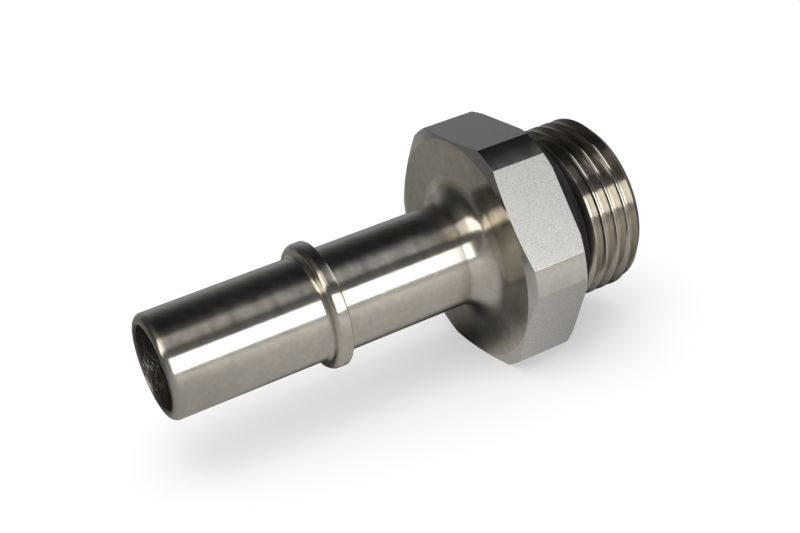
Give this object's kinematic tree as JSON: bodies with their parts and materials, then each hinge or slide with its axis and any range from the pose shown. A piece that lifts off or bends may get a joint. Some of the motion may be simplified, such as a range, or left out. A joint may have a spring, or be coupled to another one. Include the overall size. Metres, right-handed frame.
{
  "type": "quick connect adapter",
  "caption": "Straight steel fitting: a smooth beaded tube stem for a push-on coupling, a hexagon for a spanner, and a straight port thread with an O-ring in its neck.",
  "frame": {"origin": "on the axis, in the plane of the hexagon's rear face, which seats on the port", "axes": "+X along the axis from the nose to the threaded end, +Z out of the top flat of the hexagon"},
  "size_m": [0.0745, 0.0382, 0.035],
  "materials": {
    "steel": "turned and milled stainless steel, satin to bright",
    "seal_rubber": "smooth black rubber"
  },
  "bodies": {
    "root": {"adapter_body": "steel", "o_ring": "seal_rubber"}
  },
  "joints": []
}
